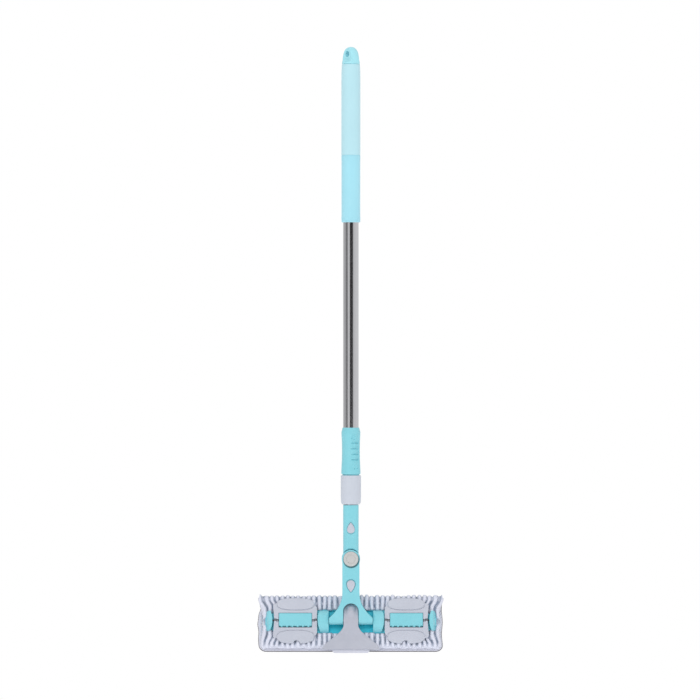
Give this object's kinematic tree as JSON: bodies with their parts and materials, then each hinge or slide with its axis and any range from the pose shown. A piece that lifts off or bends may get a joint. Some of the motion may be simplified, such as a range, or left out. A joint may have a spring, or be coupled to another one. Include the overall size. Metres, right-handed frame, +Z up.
{
  "type": "flat mop",
  "caption": "Flat mop: telescopic steel pole with a soft grip, a two-way hinged neck and a clip head that holds a ridged cloth pad.",
  "frame": {"origin": "middle of the mop's bounding box, at the level of the scraper lip, its lowest point when it hangs by its eye", "axes": "+Z up along the handle to the hanging cap, +X to the mop's right along the head, -Y towards the side the knob and the clips face"},
  "size_m": [0.33, 0.0584, 1.09],
  "materials": {
    "turquoise_plastic": "satin",
    "soft_grip": "matte",
    "grey_plastic": "satin",
    "grey_rubber": "matte",
    "white_nylon": "satin",
    "polished_tube": "polished",
    "zinc_steel": "satin",
    "foam": "matte",
    "microfibre": "matte",
    "binding_tape": "matte"
  },
  "bodies": {
    "handle": {"outer_tube": "polished_tube", "hanging_cap": "turquoise_plastic", "grip_sleeve": "turquoise_plastic", "grip_overlay": "soft_grip", "lock_collar": "turquoise_plastic", "collet": "white_nylon"},
    "lock_nut": {"lock_nut": "grey_plastic"},
    "pole": {"inner_tube": "polished_tube", "inner_tube_guide": "white_nylon", "tube_plug": "white_nylon", "upper_neck": "turquoise_plastic", "neck_screw": "zinc_steel", "upper_screw_cover": "grey_rubber"},
    "yoke": {"yoke": "turquoise_plastic", "yoke_back_cover": "turquoise_plastic", "yoke_screw": "zinc_steel", "lower_screw_cover": "grey_rubber", "hinge_bolt": "zinc_steel", "hinge_nut": "zinc_steel", "knob_cap": "grey_plastic"},
    "head": {"base_plate": "turquoise_plastic", "yoke_axle": "zinc_steel", "saddle_left": "turquoise_plastic", "saddle_right": "turquoise_plastic", "clip_pin_left": "zinc_steel", "clip_pin_right": "zinc_steel", "scraper": "grey_plastic", "scraper_blade": "grey_rubber", "scraper_screws": "zinc_steel", "foam_pad": "foam", "cloth_sole": "microfibre", "edge_binding": "binding_tape", "cloth_front_flap": "microfibre", "cloth_back_flap": "microfibre"},
    "clip_front_left": {"clip_front_left": "grey_plastic"},
    "clip_back_left": {"clip_back_left": "grey_plastic"},
    "clip_front_right": {"clip_front_right": "grey_plastic"},
    "clip_back_right": {"clip_back_right": "grey_plastic"}
  },
  "joints": [
    {"name": "lock_nut_twist", "type": "hinge", "parent": "handle", "child": "lock_nut", "pos_m": [0, -0.0115, 0.29], "axis": [0, 0, 1], "range_deg": [0, 90]},
    {"name": "pole_slide", "type": "slide", "parent": "handle", "child": "pole", "axis": [0, 0, -1], "range_m": [0, 0.3]},
    {"name": "neck_swivel", "type": "hinge", "parent": "pole", "child": "yoke", "pos_m": [0, -0.0115, 0.169], "axis": [0, 1, 0], "range_deg": [-60, 60]},
    {"name": "head_tilt", "type": "hinge", "parent": "yoke", "child": "head", "pos_m": [0, -0.0115, 0.058], "axis": [-1, 0, 0], "range_deg": [0, 100]},
    {"name": "clip_front_left_hinge", "type": "hinge", "parent": "head", "child": "clip_front_left", "pos_m": [-0.1, -0.0115, 0.058], "axis": [-1, 0, 0], "range_deg": [0, 64]},
    {"name": "clip_back_left_hinge", "type": "hinge", "parent": "head", "child": "clip_back_left", "pos_m": [-0.1, -0.0115, 0.058], "axis": [1, 0, 0], "range_deg": [0, 64]},
    {"name": "clip_front_right_hinge", "type": "hinge", "parent": "head", "child": "clip_front_right", "pos_m": [0.1, -0.0115, 0.058], "axis": [-1, 0, 0], "range_deg": [0, 64]},
    {"name": "clip_back_right_hinge", "type": "hinge", "parent": "head", "child": "clip_back_right", "pos_m": [0.1, -0.0115, 0.058], "axis": [1, 0, 0], "range_deg": [0, 64]}
  ]
}
